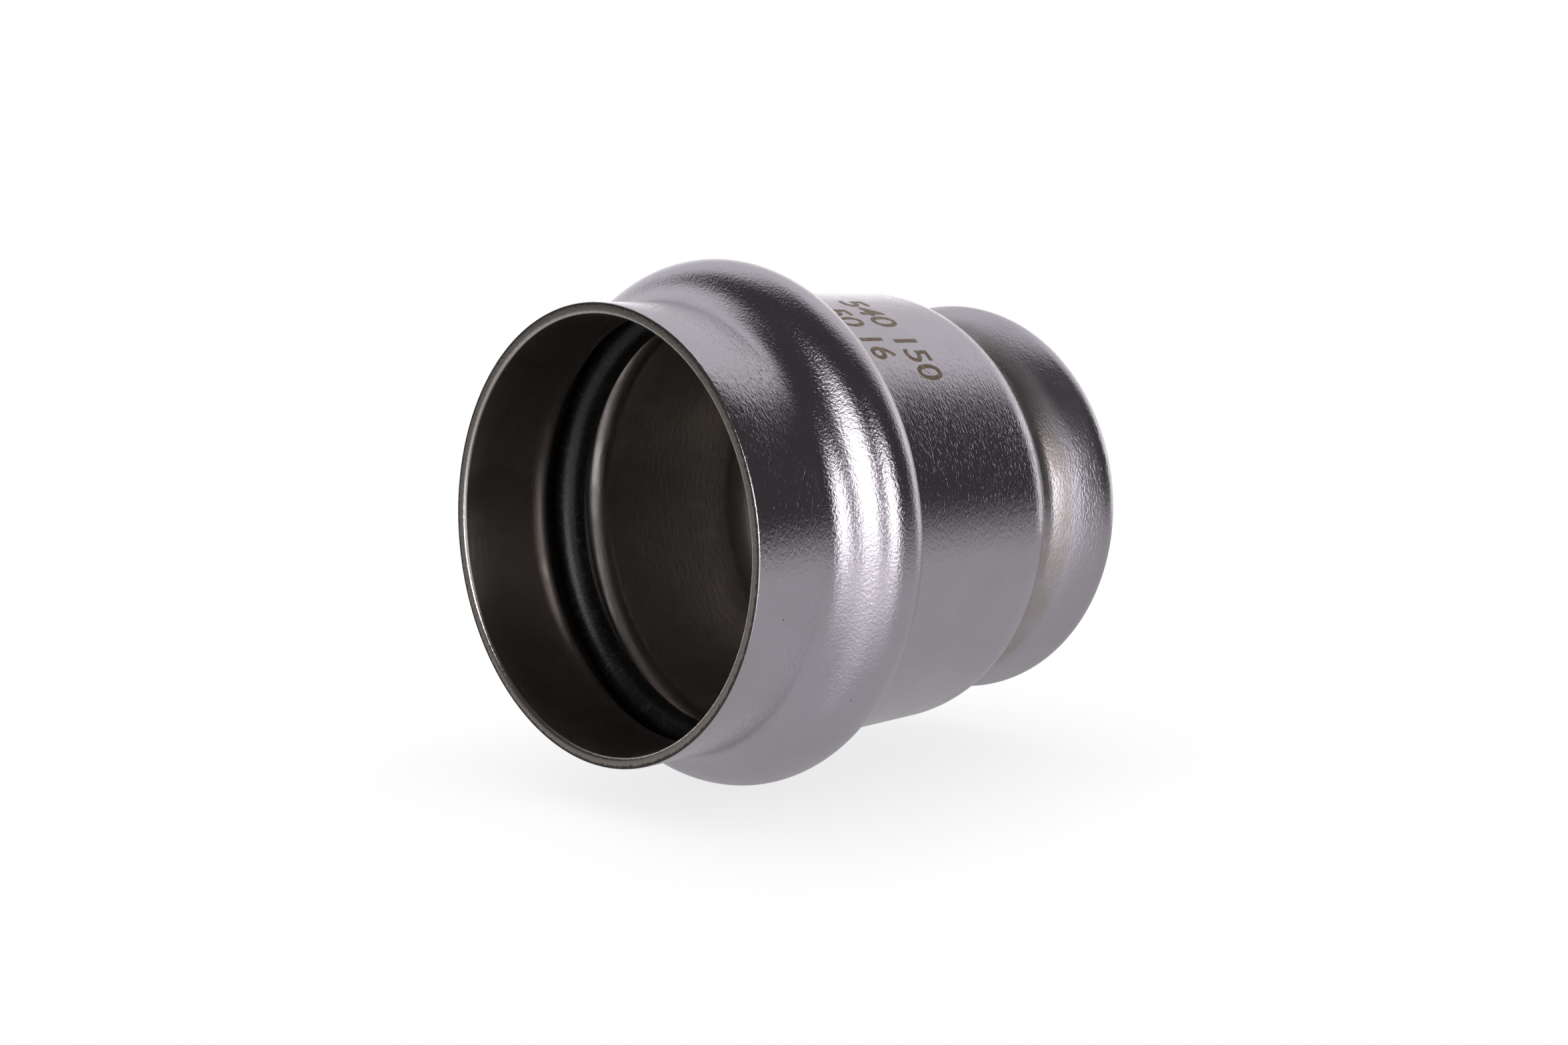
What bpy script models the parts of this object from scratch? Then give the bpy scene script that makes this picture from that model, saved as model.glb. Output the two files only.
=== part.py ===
"""Press-fit end cap for stainless tube: a drawn steel cup, and the rubber seal ring inside its bead.

Metres. The tube axis is X: the mouth is in the plane x = 0 and faces -X, and the closed end is at +X.
The cup's outer skin is a chain of round bends joined by straights, and its inner skin is the same
chain one wall further in. The section between them is turned by a Screw modifier. The bead takes its
size from the seal ring inside it, and every radius starts from the tube.
"""

from math import acos, ceil, cos, dist, pi, radians, sin

import bpy

NAME = "press_fit_end_cap"

# Tube that the socket takes, and the wall of the cup
TUBE_R = 0.0270
TUBE_CLEARANCE = 0.0002
WALL = 0.0015
BORE_R = TUBE_R + TUBE_CLEARANCE
COLLAR_R = BORE_R + WALL

# Seal ring: how far it stands inside the bore, and its gaps over and beside it in the bead
SEAL_CORD_R = 0.00245
SEAL_PROUD = 0.0002
SEAL_GAP = 0.0008
SEAL_SIDE_GAP = 0.0010
SEAL_R = BORE_R - SEAL_PROUD + SEAL_CORD_R

# Straight collar, and the bead behind it, measured on the outer skin
COLLAR_LENGTH = 0.01046
FRONT_FILLET = 0.0057
FRONT_SLOPE = radians(58)
BEAD_CROWN = SEAL_CORD_R + SEAL_SIDE_GAP + WALL
BEAD_R = SEAL_R + SEAL_CORD_R + SEAL_GAP + WALL
BACK_SLOPE = radians(56)
BACK_FILLET = 0.0026

# Straight socket behind the bead
SOCKET_STEP = 0.0013
SOCKET_R = COLLAR_R + SOCKET_STEP
SOCKET_LENGTH = 0.0219

# Rolled neck, whose inside stands in past the tube's outside and stops it
SHOULDER_BEND = 0.0076
SHOULDER_SLOPE = radians(47)
STOP_DEPTH = 0.0038
NECK_R = TUBE_R - STOP_DEPTH + WALL
NECK_BEND = 0.0035

# Closed end, a little narrower than the socket: its flank leaves the neck at the flare's slope and
# bulges to the belly's slope, where the corner begins
FLARE_SLOPE = radians(30)
BELLY_SLOPE = radians(15)
END_STEP = 0.0018
END_R = SOCKET_R - END_STEP
END_BEND = 0.0036

# Rim of the mouth
RIM_OUTER_ROUND = 0.0002
RIM_INNER_ROUND = 0.0005

STEPS = 64
CORD_STEPS = 16
BEND_STEP = radians(20)
MERGE = 0.00001
TURNED_TO_X = (0, pi / 2, 0)

RADIAL = 0
TO_MOUTH = -pi / 2
TO_END = pi / 2


def flank(rise, bends, stated):
    """Slope of the wall between two bends, and the distance between them along the axis.

    The bends' radii add up to bends. The slope is the stated one, or less where they make the whole rise.
    """
    slope = min(stated, acos(max(0, 1 - rise / bends)))
    straight = (rise - bends * (1 - cos(slope))) / sin(slope)
    return slope, bends * sin(slope) + straight * cos(slope)


def belly(rise, hollow, corner, steep, gentle):
    """Radius of a bulged flank between a hollow bend and a corner, which make part of the rise themselves."""
    rest = rise - hollow * (1 - cos(steep)) - corner * (1 - cos(gentle))
    return rest / (cos(gentle) - cos(steep))


# Places along the axis, each from the one before it
FRONT, FRONT_SPAN = flank(BEAD_R - COLLAR_R, FRONT_FILLET + BEAD_CROWN, FRONT_SLOPE)
BACK, BACK_SPAN = flank(BEAD_R - SOCKET_R, BEAD_CROWN + BACK_FILLET, BACK_SLOPE)
SHOULDER, SHOULDER_SPAN = flank(SOCKET_R - NECK_R, SHOULDER_BEND + NECK_BEND, SHOULDER_SLOPE)
BELLY_BEND = belly(END_R - NECK_R, NECK_BEND, END_BEND, FLARE_SLOPE, BELLY_SLOPE)
BELLY_R = NECK_R + (NECK_BEND + BELLY_BEND) * (1 - cos(FLARE_SLOPE))
BEAD_X = COLLAR_LENGTH + FRONT_SPAN
SOCKET_X = BEAD_X + BACK_SPAN
SHOULDER_X = SOCKET_X + SOCKET_LENGTH
NECK_X = SHOULDER_X + SHOULDER_SPAN
BELLY_X = NECK_X + (NECK_BEND + BELLY_BEND) * sin(FLARE_SLOPE)
CORNER_X = BELLY_X - (BELLY_BEND - END_BEND) * sin(BELLY_SLOPE)
END_X = CORNER_X + END_BEND


def skin(depth):
    """Bends of the cup's skin from mouth to closed end, that far under its outside.

    Each is x, r, signed bend, and the direction that the skin faces past it, from radial (0) towards the
    closed end (pi / 2). A bend is positive where the skin bulges out and negative where it is hollow.
    """
    bends = [
        (COLLAR_LENGTH, COLLAR_R, -FRONT_FILLET, -FRONT),
        (BEAD_X, BEAD_R, BEAD_CROWN, BACK),
        (SOCKET_X, SOCKET_R, -BACK_FILLET, RADIAL),
        (SHOULDER_X, SOCKET_R, SHOULDER_BEND, SHOULDER),
        (NECK_X, NECK_R, -NECK_BEND, -FLARE_SLOPE),
        (BELLY_X, BELLY_R, BELLY_BEND, -BELLY_SLOPE),
        (CORNER_X, END_R, END_BEND, TO_END),
    ]
    return [(x, r - bend, bend - depth, face) for x, r, bend, face in bends]


def arc(x, r, bend, start, end):
    """Points (radius, x) round one bend, while the direction that the skin faces goes from start to end."""
    count = max(2, ceil(abs(end - start) / BEND_STEP - 0.001))
    angles = [start + (end - start) * i / count for i in range(count + 1)]
    return [(r + bend * cos(a), x + bend * sin(a)) for a in angles]


def chain(bends):
    """Points along the bends, from the straight collar to the flat closed end.

    Two bends with no straight between them share the point where they meet.
    """
    points = []
    start = RADIAL
    for x, r, bend, end in bends:
        made = arc(x, r, bend, start, end)
        shared = bool(points) and dist(points[-1], made[0]) < MERGE
        points += made[shared:]
        start = end
    return points


def cup_section():
    """Closed end to mouth along the outside, round the rim, and back along the inside."""
    outside = [*chain(skin(0)), (0, END_X)]
    inside = [*chain(skin(WALL)), (0, END_X - WALL)]
    outer_rim = arc(RIM_OUTER_ROUND, COLLAR_R - RIM_OUTER_ROUND, RIM_OUTER_ROUND, RADIAL, TO_MOUTH)
    inner_rim = arc(RIM_INNER_ROUND, BORE_R + RIM_INNER_ROUND, RIM_INNER_ROUND, TO_MOUTH, -pi)
    return outside[::-1] + outer_rim + inner_rim + inside


def turned(name, section, collection):
    """Object whose section of (radius, x) points is turned about the X axis."""
    mesh = bpy.data.meshes.new(name)
    points = [(r, 0, x) for r, x in section]
    mesh.from_pydata(points, [(i, i + 1) for i in range(len(points) - 1)], [])
    obj = bpy.data.objects.new(name, mesh)
    collection.objects.link(obj)
    obj.rotation_euler = TURNED_TO_X
    screw = obj.modifiers.new("Turned", "SCREW")
    screw.axis = "Z"
    screw.steps = STEPS
    screw.render_steps = STEPS
    screw.use_merge_vertices = True
    screw.merge_threshold = MERGE
    screw.use_smooth_shade = True
    return obj


def make_cap_body(collection):
    obj = turned("cap_body", cup_section(), collection)
    obj.data.materials.append(material("drawn_stainless", (0.56, 0.54, 0.54), 1.0, 0.32))
    return obj


def make_seal_ring(collection):
    bpy.ops.mesh.primitive_torus_add(
        major_radius=SEAL_R,
        minor_radius=SEAL_CORD_R,
        major_segments=STEPS,
        minor_segments=CORD_STEPS,
        location=(BEAD_X, 0, 0),
        rotation=TURNED_TO_X,
    )
    obj = bpy.context.object
    obj.name = "seal_ring"
    bpy.ops.object.shade_smooth()
    for holder in list(obj.users_collection):
        holder.objects.unlink(obj)
    collection.objects.link(obj)
    obj.data.materials.append(material("black_rubber", (0.012, 0.012, 0.013), 0.0, 0.55))
    return obj


def material(name, colour, metallic, roughness):
    made = bpy.data.materials.new(name)
    made.use_nodes = True
    shader = made.node_tree.nodes["Principled BSDF"]
    shader.inputs["Base Color"].default_value = (*colour, 1)
    shader.inputs["Metallic"].default_value = metallic
    shader.inputs["Roughness"].default_value = roughness
    return made


def main():
    for obj in list(bpy.data.objects):
        bpy.data.objects.remove(obj)
    parts = bpy.data.collections.new(NAME)
    bpy.context.scene.collection.children.link(parts)
    make_cap_body(parts)
    make_seal_ring(parts)


main()
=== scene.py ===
from math import acos, atan2, ceil, cos, pi, radians, sin

import bpy
from mathutils import Matrix, Vector


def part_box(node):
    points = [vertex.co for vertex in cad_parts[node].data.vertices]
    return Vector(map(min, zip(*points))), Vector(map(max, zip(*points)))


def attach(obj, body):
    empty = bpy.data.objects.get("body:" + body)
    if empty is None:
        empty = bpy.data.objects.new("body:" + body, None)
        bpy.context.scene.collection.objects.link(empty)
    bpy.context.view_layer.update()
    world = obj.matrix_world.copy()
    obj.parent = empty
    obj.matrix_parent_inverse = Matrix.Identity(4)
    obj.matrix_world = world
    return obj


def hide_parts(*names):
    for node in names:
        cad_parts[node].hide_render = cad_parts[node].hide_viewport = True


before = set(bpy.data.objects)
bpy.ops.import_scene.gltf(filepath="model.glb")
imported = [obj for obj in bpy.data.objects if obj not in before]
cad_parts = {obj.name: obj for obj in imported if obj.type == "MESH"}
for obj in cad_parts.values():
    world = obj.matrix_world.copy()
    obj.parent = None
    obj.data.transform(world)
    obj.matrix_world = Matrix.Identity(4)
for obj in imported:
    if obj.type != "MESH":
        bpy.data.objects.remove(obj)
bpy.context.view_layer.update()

capLow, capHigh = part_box("cap_body")
sealLow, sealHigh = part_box("seal_ring")


def deselectAll():
    if bpy.context.mode != "OBJECT":
        bpy.ops.object.mode_set(mode="OBJECT")
    bpy.ops.object.select_all(action="DESELECT")


def activeAs(name):
    piece = bpy.context.object
    piece.name = name
    piece.data.name = name
    return piece


def pickVerts(piece, wanted):
    # selects the vertices that wanted() says yes to, and goes back to edit mode
    bpy.ops.mesh.select_mode(type="VERT")
    bpy.ops.mesh.select_all(action="DESELECT")
    bpy.ops.object.mode_set(mode="OBJECT")
    for vert in piece.data.vertices:
        vert.select = wanted(vert.co)
    bpy.ops.object.mode_set(mode="EDIT")


def offAxis(point):
    return (point.y ** 2 + point.z ** 2) ** 0.5


def addNode(tree, kind, inputs=None, **settings):
    node = tree.nodes.new(kind)
    for name, value in settings.items():
        setattr(node, name, value)
    for name, value in (inputs or {}).items():
        if isinstance(value, bpy.types.NodeSocket):
            tree.links.new(value, node.inputs[name])
        else:
            node.inputs[name].default_value = value
    return node


def calc(tree, operation, first, second=0.0, clamp=False):
    node = addNode(tree, "ShaderNodeMath", {0: first, 1: second}, operation=operation, use_clamp=clamp)
    return node.outputs[0]


def ramp(tree, value, low, high, toLow=0.0, toHigh=1.0):
    inputs = {"Value": value, "From Min": low, "From Max": high, "To Min": toLow, "To Max": toHigh}
    node = addNode(tree, "ShaderNodeMapRange", inputs, interpolation_type="SMOOTHSTEP")
    return node.outputs["Result"]


def band(tree, value, start, full, fade, stop):
    # 1 between full and fade, falling to 0 at start and stop
    return calc(tree, "MULTIPLY", ramp(tree, value, start, full), ramp(tree, value, fade, stop, 1.0, 0.0))


def mixColour(tree, share, first, second, blend="MIX"):
    node = addNode(tree, "ShaderNodeMix", data_type="RGBA", blend_type=blend)
    for socket, value in ((node.inputs[0], share), (node.inputs[6], first), (node.inputs[7], second)):
        if isinstance(value, bpy.types.NodeSocket):
            tree.links.new(value, socket)
        else:
            socket.default_value = value
    return node.outputs[2]


def objectPlace(tree):
    return addNode(tree, "ShaderNodeTexCoord").outputs["Object"]


def turnedPlace(tree, axial, around):
    # place on a turned piece with no seam: along the axis, and round it as a unit circle
    split = addNode(tree, "ShaderNodeSeparateXYZ", {0: objectPlace(tree)})
    ring = addNode(tree, "ShaderNodeCombineXYZ", {"Y": split.outputs["Y"], "Z": split.outputs["Z"]})
    unit = addNode(tree, "ShaderNodeVectorMath", {0: ring.outputs[0]}, operation="NORMALIZE")
    flat = addNode(tree, "ShaderNodeSeparateXYZ", {0: unit.outputs[0]})
    parts = {
        "X": calc(tree, "MULTIPLY", split.outputs["X"], axial),
        "Y": calc(tree, "MULTIPLY", flat.outputs["Y"], around),
        "Z": calc(tree, "MULTIPLY", flat.outputs["Z"], around),
    }
    return addNode(tree, "ShaderNodeCombineXYZ", parts).outputs[0]


def noise(tree, place, scale, detail=2.0, roughness=0.5, distortion=0.0):
    inputs = {
        "Vector": place, "Scale": scale, "Detail": detail, "Roughness": roughness, "Distortion": distortion,
    }
    return addNode(tree, "ShaderNodeTexNoise", inputs).outputs["Fac"]


def newGroup(name, inputs, outputs):
    group = bpy.data.node_groups.new(name, "ShaderNodeTree")
    for label, value in inputs.items():
        socket = group.interface.new_socket(label, in_out="INPUT", socket_type="NodeSocketFloat")
        socket.default_value = value
    for label in outputs:
        group.interface.new_socket(label, in_out="OUTPUT", socket_type="NodeSocketFloat")
    return group, group.nodes.new("NodeGroupInput"), group.nodes.new("NodeGroupOutput")


def useGroup(tree, group, **inputs):
    node = addNode(tree, "ShaderNodeGroup", node_tree=group)
    for label, value in inputs.items():
        node.inputs[label].default_value = value
    return node.outputs[0]


def makeDrawnGrain():
    # short wavy streaks that run round the piece, left by drawing and rolling
    group, given, out = newGroup("drawnGrain", {"Axial": 1500.0, "Around": 20.0, "Detail": 3.0}, ["Height"])
    place = turnedPlace(group, given.outputs["Axial"], given.outputs["Around"])
    streaks = noise(group, place, 1.0, given.outputs["Detail"], 0.55, 0.6)
    group.links.new(streaks, out.inputs["Height"])
    return group


def makeOrangePeel():
    # fine pebbling of stretched steel
    group, given, out = newGroup("orangePeel", {"Scale": 1600.0}, ["Height"])
    group.links.new(noise(group, objectPlace(group), given.outputs["Scale"], 3.0, 0.6), out.inputs["Height"])
    return group


def makeSpecks():
    # scattered round pits: a share of the cells of a Voronoi pattern holds one
    group, given, out = newGroup("specks", {"Scale": 500.0, "Size": 0.12, "Share": 0.1}, ["Mask"])
    spread = {"Vector": objectPlace(group), "Scale": given.outputs["Scale"]}
    cells = addNode(group, "ShaderNodeTexVoronoi", spread)
    chance = addNode(group, "ShaderNodeSeparateColor", {0: cells.outputs["Color"]}).outputs[0]
    held = calc(group, "LESS_THAN", chance, given.outputs["Share"])
    size = calc(group, "MULTIPLY", given.outputs["Size"], calc(group, "ADD", chance, 0.6))
    inner = calc(group, "MULTIPLY", size, 0.5)
    dot = ramp(group, cells.outputs["Distance"], inner, size, 1.0, 0.0)
    group.links.new(calc(group, "MULTIPLY", dot, held), out.inputs["Mask"])
    return group


def makeScratches():
    # thin handling scratches: long narrow cells, kept only here and there
    group, given, out = newGroup("scratches", {"Angle": 0.6, "Scale": 700.0, "Share": 0.5}, ["Mask"])
    turn = addNode(group, "ShaderNodeCombineXYZ", {"X": given.outputs["Angle"], "Z": given.outputs["Angle"]})
    spun = addNode(
        group, "ShaderNodeVectorRotate", {"Vector": objectPlace(group), "Rotation": turn.outputs[0]},
        rotation_type="EULER_XYZ",
    )
    thin = addNode(
        group, "ShaderNodeVectorMath", {0: spun.outputs[0], 1: (1.0, 0.07, 0.35)}, operation="MULTIPLY"
    )
    lines = noise(group, thin.outputs[0], given.outputs["Scale"], 0.0)
    middle = calc(group, "ABSOLUTE", calc(group, "SUBTRACT", lines, 0.5))
    line = ramp(group, middle, 0.0, 0.012, 1.0, 0.0)
    patches = noise(group, objectPlace(group), 160.0, 1.0)
    inputs = {"Value": patches, "From Min": given.outputs["Share"], "From Max": 1.0}
    over = addNode(group, "ShaderNodeMapRange", inputs).outputs["Result"]
    kept = ramp(group, over, 0.10, 0.20)
    group.links.new(calc(group, "MULTIPLY", line, kept), out.inputs["Mask"])
    return group


def makeSmudges():
    # broad cloudy change over the surface, from handling
    group, given, out = newGroup("smudges", {"Scale": 60.0}, ["Value"])
    clouds = noise(group, objectPlace(group), given.outputs["Scale"], 4.0, 0.6, 0.4)
    group.links.new(ramp(group, clouds, 0.32, 0.68), out.inputs["Value"])
    return group


drawnGrain = makeDrawnGrain()
orangePeel = makeOrangePeel()
specks = makeSpecks()
scratches = makeScratches()
smudges = makeSmudges()


def newMaterial(name, metallic, roughness):
    material = bpy.data.materials.new(name)
    material.use_nodes = True
    tree = material.node_tree
    shader = tree.nodes["Principled BSDF"]
    shader.inputs["Metallic"].default_value = metallic
    shader.inputs["Roughness"].default_value = roughness
    return material, tree, shader


def bumpInto(tree, shader, height, distance, strength=1.0):
    inputs = {"Height": height, "Distance": distance, "Strength": strength}
    bump = addNode(tree, "ShaderNodeBump", inputs)
    tree.links.new(bump.outputs["Normal"], shader.inputs["Normal"])


def weighted(tree, terms):
    # sum of value times weight
    total = 0.0
    for value, weight in terms:
        total = calc(tree, "ADD", calc(tree, "MULTIPLY", value, weight), total)
    return total


capSizes = {
    "wall": 0.0015,
    "collarRadius": 0.0287,
    "collarLength": 0.01046,
    "frontFillet": 0.0057,
    "frontSlope": radians(58),
    "beadCrown": 0.00495,
    "backSlope": radians(56),
    "backFillet": 0.0026,
    "socketRadius": 0.0300,
    "socketLength": 0.0219,
    "shoulderBend": 0.0076,
    "shoulderSlope": radians(47),
    "neckRadius": 0.0247,
    "neckBend": 0.0035,
    "flareSlope": radians(30),
    "bellySlope": radians(15),
    "endRadius": 0.0282,
    "endBend": 0.0036,
    "rimOuterRound": 0.0002,
    "rimInnerRound": 0.0005,
    "sides": 256,
    "bendStep": radians(4),
    "longestStraight": 0.004,
}


def flank(rise, bends, stated):
    # slope of the wall between two bends, and the distance between them along the axis
    slope = min(stated, acos(max(0, 1 - rise / bends)))
    straight = (rise - bends * (1 - cos(slope))) / sin(slope)
    return slope, bends * sin(slope) + straight * cos(slope)


def bellyBend(rise, hollow, corner, steep, gentle):
    # radius of the bulged flank between a hollow bend and a corner, which make part of the rise themselves
    return (rise - hollow * (1 - cos(steep)) - corner * (1 - cos(gentle))) / (cos(gentle) - cos(steep))


def capPlaces(sizes, beadRadius):
    # each bend of the outer skin: its x, radius, signed bend and the direction that the skin faces past it
    collar, socket = sizes["collarRadius"], sizes["socketRadius"]
    neck, end = sizes["neckRadius"], sizes["endRadius"]
    fillet, crown, back = sizes["frontFillet"], sizes["beadCrown"], sizes["backFillet"]
    shoulder, waist, corner = sizes["shoulderBend"], sizes["neckBend"], sizes["endBend"]
    front, frontSpan = flank(beadRadius - collar, fillet + crown, sizes["frontSlope"])
    rear, rearSpan = flank(beadRadius - socket, crown + back, sizes["backSlope"])
    fall, fallSpan = flank(socket - neck, shoulder + waist, sizes["shoulderSlope"])
    steep, gentle = sizes["flareSlope"], sizes["bellySlope"]
    belly = bellyBend(end - neck, waist, corner, steep, gentle)
    steps = (
        ("collar", sizes["collarLength"], collar, -fillet, -front),
        ("bead", frontSpan, beadRadius, crown, rear),
        ("socket", rearSpan, socket, -back, 0),
        ("shoulder", sizes["socketLength"], socket, shoulder, fall),
        ("neck", fallSpan, neck, -waist, -steep),
        ("belly", (waist + belly) * sin(steep), neck + (waist + belly) * (1 - cos(steep)), belly, -gentle),
        ("end", (corner - belly) * sin(gentle), end, corner, pi / 2),
    )
    bends, x = {}, 0.0
    for name, step, radius, bend, stop in steps:
        x += step
        bends[name] = (x, radius, bend, stop)
    return bends


def capRings(sizes, bends):
    # (x, radius) of each ring of the outer skin, from the mouth to the flat of the closed end
    rings, start = [(0.0, sizes["collarRadius"])], 0.0
    for x, radius, bend, stop in bends.values():
        count = max(1, ceil(abs(stop - start) / sizes["bendStep"]))
        for i in range(count + 1):
            angle = start + (stop - start) * i / count
            rings.append((x + bend * sin(angle), radius - bend + bend * cos(angle)))
        start = stop
    return rings


capBends = capPlaces(capSizes, capHigh.z)
at = {name: bend[0] for name, bend in capBends.items()}


outerLook = {
    "steel": (0.635, 0.60, 0.655, 1),
    "stained": (0.515, 0.475, 0.495, 1),
    "scuffed": (0.50, 0.455, 0.42, 1),
    "pit": (0.10, 0.09, 0.085, 1),
    "smooth": 0.08,
    "dull": 0.17,
    "neckDull": 0.20,
    "endDull": 0.19,
    "streakHeight": 0.85,
    "peelHeight": 0.18,
    "beadPeel": 1.0,
    "relief": 0.00006,
}


def makeOuterSteel(look):
    material, tree, shader = newMaterial("satinSteel", 1.0, look["smooth"])
    along = addNode(tree, "ShaderNodeSeparateXYZ", {0: objectPlace(tree)}).outputs["X"]
    streaks = useGroup(tree, drawnGrain, Axial=3600.0, Around=42.0, Detail=1.5)
    waves = useGroup(tree, drawnGrain, Axial=420.0, Around=5.0, Detail=2.0)
    peel = useGroup(tree, orangePeel, Scale=2800.0)
    pits = useGroup(tree, specks, Scale=420.0, Size=0.10, Share=0.07)
    lines = useGroup(tree, scratches, Angle=0.7, Scale=700.0, Share=0.60)
    cloud = useGroup(tree, smudges, Scale=55.0)
    fog = useGroup(tree, smudges, Scale=260.0)

    # the bead is stretched into pebbles, and the rollers dull the neck and scuff it past its waist
    front, back, waist, end = at["collar"], at["socket"], at["neck"], at["end"]
    bead = band(tree, along, front - 0.002, front + 0.002, back - 0.002, back + 0.002)
    neck = band(tree, along, waist - 0.004, waist - 0.002, waist + 0.003, waist + 0.006)
    flared = band(tree, along, waist + 0.001, waist + 0.004, end - 0.002, end + 0.002)
    rolled = band(tree, along, waist - 0.001, waist + 0.001, waist + 0.0030, waist + 0.0045)
    scuff = calc(tree, "MULTIPLY", rolled, calc(tree, "ADD", calc(tree, "MULTIPLY", fog, 0.5), 0.4), True)

    stain = mixColour(tree, calc(tree, "MULTIPLY", cloud, 0.35), look["steel"], look["stained"])
    worn = mixColour(tree, scuff, stain, look["scuffed"])
    colour = mixColour(tree, calc(tree, "MULTIPLY", pits, 0.8), worn, look["pit"])
    tree.links.new(colour, shader.inputs["Base Color"])
    dullness = weighted(tree, ((cloud, 0.5), (fog, 0.3), (lines, 0.6)))
    rough = ramp(tree, dullness, 0.0, 1.0, look["smooth"], look["dull"])
    worked = weighted(tree, ((rough, 1.0), (neck, look["neckDull"]), (flared, look["endDull"])))
    tree.links.new(worked, shader.inputs["Roughness"])
    # streaks run round the wall, so the flat closed end has none, only a little pebbling
    flat = ramp(tree, along, end + 0.0024, end + 0.0034)
    still = calc(tree, "SUBTRACT", calc(tree, "SUBTRACT", 1.0, flat), calc(tree, "MULTIPLY", bead, 0.85))
    peelTall = calc(tree, "ADD", calc(tree, "MULTIPLY", bead, look["beadPeel"]), look["peelHeight"])
    pebbles = calc(tree, "MULTIPLY", peel, peelTall)
    terms = (
        (calc(tree, "MULTIPLY", streaks, still), look["streakHeight"]), (pebbles, 1.0),
        (calc(tree, "MULTIPLY", waves, calc(tree, "SUBTRACT", 1.0, flat)), 0.45),
        (pits, -0.3), (lines, -0.12),
    )
    bumpInto(tree, shader, weighted(tree, terms), look["relief"])
    return material


boreLook = {
    "steel": (0.51, 0.48, 0.455, 1),
    "stained": (0.35, 0.32, 0.295, 1),
    "smooth": 0.28,
    "dull": 0.40,
    "relief": 0.00003,
}


def makeBoreSteel(look):
    material, tree, shader = newMaterial("boreSteel", 1.0, look["smooth"])
    streaks = useGroup(tree, drawnGrain, Axial=1500.0, Around=14.0, Detail=3.0)
    cloud = useGroup(tree, smudges, Scale=70.0)
    pits = useGroup(tree, specks, Scale=500.0, Size=0.1, Share=0.08)
    tree.links.new(mixColour(tree, cloud, look["steel"], look["stained"]), shader.inputs["Base Color"])
    tree.links.new(ramp(tree, cloud, 0.0, 1.0, look["smooth"], look["dull"]), shader.inputs["Roughness"])
    bumpInto(tree, shader, weighted(tree, ((streaks, 1.0), (pits, -0.5))), look["relief"])
    return material


rimLook = {
    "bright": (0.66, 0.63, 0.60, 1),
    "pale": (0.42, 0.385, 0.345, 1),
    # dark: colour of the painted burr shadow along the rim's outer edge
    "dark": (0.10, 0.088, 0.075, 1),
    "smooth": 0.22,
    "dull": 0.6,
    "tornScale": 1700.0,
    "relief": 0.00005,
}


def makeCutRim(look, innerRadius, outerRadius):
    material, tree, shader = newMaterial("cutRim", 1.0, look["smooth"])
    split = addNode(tree, "ShaderNodeSeparateXYZ", {0: objectPlace(tree)})
    ring = addNode(tree, "ShaderNodeCombineXYZ", {"Y": split.outputs["Y"], "Z": split.outputs["Z"]})
    radius = addNode(tree, "ShaderNodeVectorMath", {0: ring.outputs[0]}, operation="LENGTH").outputs["Value"]
    torn = noise(tree, objectPlace(tree), look["tornScale"], 3.0, 0.7)
    across = ramp(tree, radius, innerRadius, outerRadius)
    # painted shadow along the rim's outer edge: this mask darkens the face towards the dark colour, as in
    # the shade of its torn burr, and also roughens it
    burrShadow = ramp(tree, calc(tree, "ADD", across, calc(tree, "MULTIPLY", torn, 0.6)), 0.98, 1.22)
    polished = ramp(tree, calc(tree, "ADD", across, calc(tree, "MULTIPLY", torn, 0.3)), 0.18, 0.42, 1.0, 0.0)
    face = mixColour(tree, polished, look["pale"], look["bright"])
    tree.links.new(mixColour(tree, burrShadow, face, look["dark"]), shader.inputs["Base Color"])
    wear = calc(tree, "SUBTRACT", calc(tree, "ADD", burrShadow, 0.3), calc(tree, "MULTIPLY", polished, 0.3), True)
    tree.links.new(ramp(tree, wear, 0.0, 1.0, look["smooth"], look["dull"]), shader.inputs["Roughness"])
    bumpInto(tree, shader, torn, look["relief"])
    return material


rubberLook = {
    "black": (0.005, 0.005, 0.0055, 1),
    "dust": (0.07, 0.067, 0.065, 1),
    "smooth": 0.34,
    "dull": 0.7,
    "relief": 0.00005,
}


def makeRubber(look):
    material, tree, shader = newMaterial("matteRubber", 0.0, look["smooth"])
    cloud = useGroup(tree, smudges, Scale=110.0)
    grain = useGroup(tree, orangePeel, Scale=2600.0)
    dots = useGroup(tree, specks, Scale=900.0, Size=0.16, Share=0.16)
    wiped = ramp(tree, useGroup(tree, drawnGrain, Axial=1500.0, Around=55.0, Detail=3.0), 0.54, 0.70)
    dust = weighted(tree, ((cloud, 0.10), (dots, 0.45), (wiped, 0.35)))
    tree.links.new(mixColour(tree, dust, look["black"], look["dust"]), shader.inputs["Base Color"])
    tree.links.new(ramp(tree, dust, 0.0, 1.0, look["smooth"], look["dull"]), shader.inputs["Roughness"])
    bumpInto(tree, shader, grain, look["relief"])
    return material


markLook = {"line": (0.25, 0.185, 0.12, 1), "worn": (0.50, 0.41, 0.30, 1), "relief": 0.00001}


def makeMarkInk(look):
    material, tree, shader = newMaterial("etchedMark", 0.6, 0.42)
    patch = ramp(tree, noise(tree, objectPlace(tree), 1900.0, 3.0, 0.65), 0.45, 0.72)
    tree.links.new(mixColour(tree, patch, look["line"], look["worn"]), shader.inputs["Base Color"])
    bumpInto(tree, shader, patch, look["relief"])
    return material


def splitLong(rings, longest):
    # adds rings where a straight is long, so that the faces stay even
    made = [rings[0]]
    for x, radius in rings[1:]:
        lastX, lastRadius = made[-1]
        count = max(1, ceil(abs(x - lastX) / longest))
        for i in range(1, count + 1):
            share = i / count
            made.append((lastX + (x - lastX) * share, lastRadius + (radius - lastRadius) * share))
    return made


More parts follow.
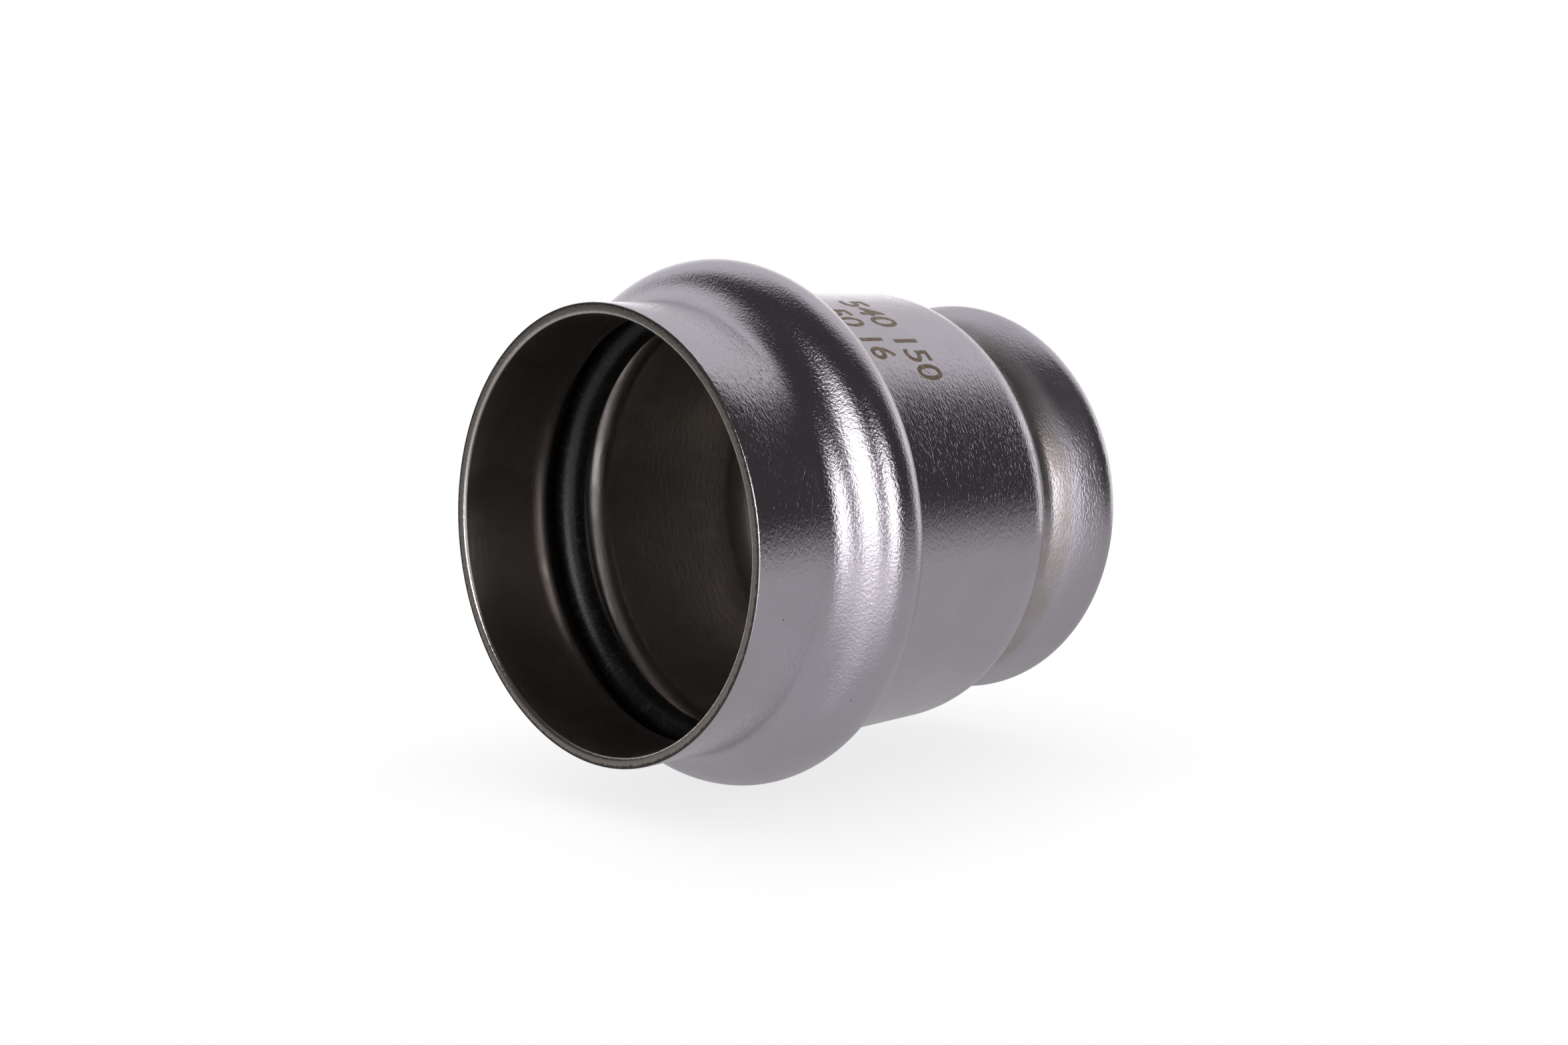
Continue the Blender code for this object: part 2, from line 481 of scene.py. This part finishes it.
def makeCap(sizes):
    rings = splitLong(capRings(sizes, capBends), sizes["longestStraight"])
    deselectAll()
    bpy.ops.mesh.primitive_circle_add(
        vertices=sizes["sides"], radius=rings[0][1], fill_type="NOTHING", rotation=(0, pi / 2, 0)
    )
    cap = activeAs("capShell")
    bpy.ops.object.transform_apply(location=True, rotation=True, scale=True)
    bpy.ops.object.mode_set(mode="EDIT")
    bpy.ops.mesh.select_all(action="SELECT")
    for (lastX, lastRadius), (x, radius) in zip(rings, rings[1:]):
        bpy.ops.mesh.extrude_region_move(TRANSFORM_OT_translate={"value": (x - lastX, 0, 0)})
        grow = radius / lastRadius
        bpy.ops.transform.resize(value=(1, grow, grow), center_override=(x, 0, 0))
    flat = rings[-1][1]
    for share in (0.75, 0.5, 0.25, 0.08):
        bpy.ops.mesh.extrude_region_move(TRANSFORM_OT_translate={"value": (0, 0, 0)})
        shrink = share * rings[-1][1] / flat
        bpy.ops.transform.resize(value=(1, shrink, shrink), center_override=(rings[-1][0], 0, 0))
        flat = share * rings[-1][1]
    bpy.ops.mesh.extrude_region_move(TRANSFORM_OT_translate={"value": (0, 0, 0)})
    bpy.ops.mesh.merge(type="CENTER")
    bpy.ops.mesh.select_all(action="SELECT")
    bpy.ops.mesh.remove_doubles(threshold=0.000001)
    bpy.ops.mesh.normals_make_consistent(inside=False)
    bpy.ops.object.mode_set(mode="OBJECT")

    for material in (
        makeOuterSteel(outerLook),
        makeBoreSteel(boreLook),
        makeCutRim(rimLook, sizes["collarRadius"] - sizes["wall"], sizes["collarRadius"]),
    ):
        cap.data.materials.append(material)
    wall = cap.modifiers.new("Wall", "SOLIDIFY")
    wall.thickness = sizes["wall"]
    wall.offset = -1
    wall.use_even_offset = True
    wall.material_offset = 1
    wall.material_offset_rim = 2
    bpy.ops.object.modifier_apply(modifier=wall.name)
    roundRimEdge(cap, sizes["collarRadius"], sizes["rimOuterRound"])
    roundRimEdge(cap, sizes["collarRadius"] - sizes["wall"], sizes["rimInnerRound"])
    bpy.ops.object.shade_smooth_by_angle(angle=radians(35))
    return cap


def roundRimEdge(cap, radius, size):
    bpy.ops.object.mode_set(mode="EDIT")
    pickVerts(cap, lambda co: abs(co.x) < 0.00001 and abs(offAxis(co) - radius) < 0.00003)
    bpy.ops.mesh.select_mode(type="EDGE")
    bpy.ops.mesh.bevel(offset=size, segments=5, affect="EDGES", clamp_overlap=False)
    bpy.ops.object.mode_set(mode="OBJECT")


capShell = makeCap(capSizes)
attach(capShell, "root")
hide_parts("cap_body")
print("cup:", len(capShell.data.polygons), "faces")


sealSizes = {
    "sides": 256,
    "cordSides": 40,
    "flash": 0.00007,
    "sag": 0.0019,
    "sagAt": radians(98),
    "sagHalf": radians(17),
}


def makeSeal(sizes):
    cord = (sealHigh.x - sealLow.x) / 2
    middle = (sealHigh.x + sealLow.x) / 2
    deselectAll()
    bpy.ops.mesh.primitive_torus_add(
        major_radius=sealHigh.z - cord, minor_radius=cord, major_segments=sizes["sides"],
        minor_segments=sizes["cordSides"], location=(middle, 0, 0), rotation=(0, pi / 2, 0),
    )
    seal = activeAs("sealRing")
    bpy.ops.object.transform_apply(location=True, rotation=True, scale=True)
    # moulding flash: a fine ridge round the cord's inside and outside
    bpy.ops.object.mode_set(mode="EDIT")
    pickVerts(seal, lambda co: abs(co.x - middle) < 0.00001)
    bpy.ops.transform.shrink_fatten(value=-sizes["flash"])
    bpy.ops.object.mode_set(mode="OBJECT")
    # one place near the top where the cord sags out of its groove
    for vert in seal.data.vertices:
        away = abs(atan2(vert.co.z, -vert.co.y) - sizes["sagAt"]) / sizes["sagHalf"]
        if away < 1:
            keep = 1 - sizes["sag"] * (0.5 + 0.5 * cos(pi * away)) / offAxis(vert.co)
            vert.co.y *= keep
            vert.co.z *= keep
    bpy.ops.object.shade_smooth()
    seal.data.materials.append(makeRubber(rubberLook))
    return seal


sealRing = makeSeal(sealSizes)
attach(sealRing, "root")
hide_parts("seal_ring")
print("seal ring:", len(sealRing.data.polygons), "faces")


markSizes = {
    "lift": 0.000010,
    "deep": 0.000012,
    "bolder": 0.010,
    "cuts": 4,
    "lines": (
        {"text": "540 150", "capHeight": 0.0044, "foot": 0.0343, "from": radians(74), "to": radians(39)},
        {"text": "50 16", "capHeight": 0.0042, "foot": 0.0283, "from": radians(68), "to": radians(46)},
    ),
}


def makeMarkLine(index, line):
    # thin raised text made a mesh, scaled to its cap height and arc, then laid round the socket
    deselectAll()
    bpy.ops.object.text_add()
    letters = bpy.context.object.data
    letters.body = line["text"]
    letters.resolution_u = 6
    letters.extrude = 1.0
    letters.offset = markSizes["bolder"]
    bpy.ops.object.convert(target="MESH")
    mark = activeAs(f"sizeMark{index}")
    bpy.ops.object.mode_set(mode="EDIT")
    bpy.ops.mesh.select_all(action="SELECT")
    bpy.ops.mesh.remove_doubles(threshold=0.0001)
    bpy.ops.mesh.subdivide(number_cuts=markSizes["cuts"])
    bpy.ops.object.mode_set(mode="OBJECT")
    places = [vert.co.copy() for vert in mark.data.vertices]
    left, right = min(p.x for p in places), max(p.x for p in places)
    low, high = min(p.y for p in places), max(p.y for p in places)
    for vert, place in zip(mark.data.vertices, places):
        radius = capSizes["socketRadius"] + markSizes["lift"] + markSizes["deep"] * place.z
        share = (place.x - left) / (right - left)
        angle = line["from"] + (line["to"] - line["from"]) * share
        along = line["foot"] + line["capHeight"] * (place.y - low) / (high - low)
        vert.co = (along, -radius * cos(angle), radius * sin(angle))
    return mark


def makeMark():
    pieces = [makeMarkLine(i, line) for i, line in enumerate(markSizes["lines"])]
    deselectAll()
    for piece in pieces:
        piece.select_set(True)
    bpy.context.view_layer.objects.active = pieces[0]
    bpy.ops.object.join()
    mark = activeAs("sizeMark")
    bpy.ops.object.mode_set(mode="EDIT")
    bpy.ops.mesh.select_all(action="SELECT")
    bpy.ops.mesh.normals_make_consistent(inside=False)
    bpy.ops.object.mode_set(mode="OBJECT")
    mark.data.materials.append(makeMarkInk(markLook))
    return mark


sizeMark = makeMark()
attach(sizeMark, "root")
print("numbers:", len(sizeMark.data.polygons), "faces")


# soft boxes round the piece: heading and height of the middle, half sizes and edge softness in degrees,
# and how bright it is
softBoxes = (
    {"heading": -101, "height": 9, "wide": 12, "high": 17, "soft": 3, "softHigh": 8, "level": 3.2},
    {"heading": -160, "height": 11, "wide": 18.5, "high": 17, "soft": 3, "softHigh": 8, "level": 3.0},
    {"heading": -127, "height": 9, "wide": 12, "high": 18, "soft": 3, "softHigh": 8, "level": 0.26},
    {"heading": -130, "height": -16, "wide": 46, "high": 11, "soft": 8, "softHigh": 8, "level": 1.05},
    {"heading": -130, "height": -26, "wide": 50, "high": 20, "soft": 10, "softHigh": 14, "level": 0.68},
    {"heading": 45, "height": 32, "wide": 62, "high": 39, "soft": 7, "softHigh": 9, "level": 0.64},
    {"heading": 45, "height": 7, "wide": 62, "high": 16, "soft": 5, "softHigh": 6, "level": 0.95},
    {"heading": 46, "height": 3, "wide": 17, "high": 17, "soft": 6, "softHigh": 6, "level": 1.2},
)
studio = {
    "dark": 0.05,
    "ground": 0.42,
    "groundTop": 6,
    "groundFull": -16,
    "tint": (1.0, 0.985, 1.005),
    "backdrop": 1.0,
    "floorSize": 3,
    "floorGap": 0.0002,
    # colour of the painted contact shadow on the floor, and how far it reaches
    "contactShadow": (0.80, 0.80, 0.81, 1),
    "contactShadowReach": 0.03,
}


def fade(tree, angle, half, soft):
    # 1 within half a width of 0, with an edge that is soft both ways; degrees
    return ramp(tree, calc(tree, "ABSOLUTE", angle), radians(half - soft), radians(half + soft), 1.0, 0.0)


def softBox(tree, direction, box):
    # mask of a box seen from the piece, by its heading and its height
    heading, height = radians(box["heading"]), radians(box["height"])
    ahead = Vector((cos(heading), sin(heading), 0))
    aside = Vector((-sin(heading), cos(heading), 0))
    dots = [
        addNode(tree, "ShaderNodeVectorMath", {0: direction, 1: tuple(axis)}, operation="DOT_PRODUCT")
        for axis in (aside, ahead, Vector((0, 0, 1)))
    ]
    across = calc(tree, "ARCTAN2", dots[0].outputs["Value"], dots[1].outputs["Value"])
    up = calc(tree, "SUBTRACT", calc(tree, "ARCSINE", dots[2].outputs["Value"]), height)
    wide = fade(tree, across, box["wide"], box["soft"])
    high = fade(tree, up, box["high"], box["softHigh"])
    return calc(tree, "MULTIPLY", wide, high)


def makeWorld():
    world = bpy.data.worlds.new("studio")
    bpy.context.scene.world = world
    world.use_nodes = True
    tree = world.node_tree
    tree.nodes.clear()
    direction = addNode(tree, "ShaderNodeTexCoord").outputs["Generated"]
    split = addNode(tree, "ShaderNodeSeparateXYZ", {0: direction})
    height = calc(tree, "ARCSINE", split.outputs["Z"])
    full, top = radians(studio["groundFull"]), radians(studio["groundTop"])
    level = ramp(tree, height, full, top, studio["ground"], studio["dark"])
    for box in softBoxes:
        mask = softBox(tree, direction, box)
        level = calc(tree, "MAXIMUM", level, calc(tree, "MULTIPLY", mask, box["level"]))
    tint = addNode(tree, "ShaderNodeVectorMath", {0: studio["tint"], "Scale": level}, operation="SCALE")
    room = addNode(tree, "ShaderNodeBackground", {"Color": tint.outputs[0]})
    seen = addNode(tree, "ShaderNodeBackground", {"Color": (1, 1, 1, 1), "Strength": studio["backdrop"]})
    path = addNode(tree, "ShaderNodeLightPath")
    inputs = {0: path.outputs["Is Camera Ray"], 1: room.outputs[0], 2: seen.outputs[0]}
    pick = addNode(tree, "ShaderNodeMixShader", inputs)
    out = addNode(tree, "ShaderNodeOutputWorld")
    tree.links.new(pick.outputs[0], out.inputs["Surface"])


def makeFloor():
    # pale floor under the bead, nearly white to the camera, with a painted soft contact shadow: ambient
    # occlusion darkens its glowing colour near the contact
    deselectAll()
    underneath = (0, 0, capLow.z - studio["floorGap"])
    bpy.ops.mesh.primitive_plane_add(size=studio["floorSize"], location=underneath)
    floor = activeAs("paleFloor")
    material = bpy.data.materials.new("paleFloor")
    material.use_nodes = True
    tree = material.node_tree
    tree.nodes.clear()
    # painted shadow: the floor's glow is darkened where the piece is near, by ambient occlusion
    near = addNode(tree, "ShaderNodeAmbientOcclusion", {"Distance": studio["contactShadowReach"]}, samples=8)
    shadowedGlow = mixColour(tree, near.outputs["AO"], studio["contactShadow"], (1, 1, 1, 1))
    seen = addNode(tree, "ShaderNodeEmission", {"Color": shadowedGlow})
    ground = studio["ground"]
    lit = addNode(tree, "ShaderNodeEmission", {"Color": (ground, ground * 0.985, ground, 1)})
    path = addNode(tree, "ShaderNodeLightPath")
    inputs = {0: path.outputs["Is Camera Ray"], 1: lit.outputs[0], 2: seen.outputs[0]}
    pick = addNode(tree, "ShaderNodeMixShader", inputs)
    out = addNode(tree, "ShaderNodeOutputMaterial")
    tree.links.new(pick.outputs[0], out.inputs["Surface"])
    floor.data.materials.append(material)
    floor.visible_glossy = False
    floor.visible_diffuse = False


makeWorld()
makeFloor()
print("studio: world and floor")


cameraSet = {
    "place": (-0.14435, -0.17539, 0.02809),
    "ahead": (0.70609, 0.69865, -0.11544),
    "lens": 42.64,
    "sensor": 36,
}


def makeCamera():
    data = bpy.data.cameras.new("camera")
    camera = bpy.data.objects.new("camera", data)
    bpy.context.scene.collection.objects.link(camera)
    ahead = Vector(cameraSet["ahead"]).normalized()
    right = ahead.cross(Vector((0, 0, 1))).normalized()
    up = right.cross(ahead)
    turn = Matrix((right, up, -ahead)).transposed().to_4x4()
    camera.matrix_world = Matrix.Translation(cameraSet["place"]) @ turn
    data.lens = cameraSet["lens"]
    data.sensor_width = cameraSet["sensor"]
    data.clip_start = 0.01
    bpy.context.scene.camera = camera


makeCamera()
bpy.context.scene.view_settings.view_transform = "Standard"
print("camera set")
